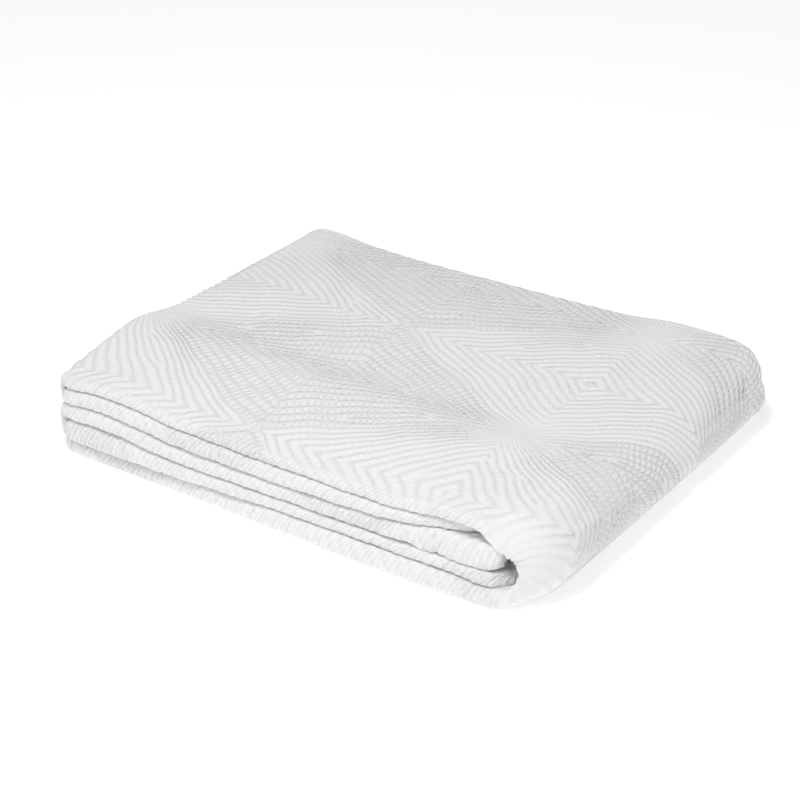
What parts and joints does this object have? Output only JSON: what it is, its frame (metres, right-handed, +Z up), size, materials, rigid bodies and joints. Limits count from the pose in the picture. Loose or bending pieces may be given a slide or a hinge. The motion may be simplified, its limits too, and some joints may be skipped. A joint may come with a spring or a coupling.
{
  "type": "bedspread",
  "caption": "White ribbed cotton bedspread folded into a soft flat packet: rolled layers at the front, one broad wrap-over fold at the right end, resting on its flat underside",
  "frame": {"origin": "on the ground under the middle of the folded packet's box", "axes": "X runs along the folded lays, from the open left end to the round wrapped end; Y runs from the rolled front edges to the back; Z is up"},
  "size_m": [0.5096, 0.4252, 0.0876],
  "materials": {
    "cotton": "matt white cotton with raised beaded ribs"
  },
  "bodies": {
    "root": {"bedspread": "cotton"}
  },
  "joints": []
}
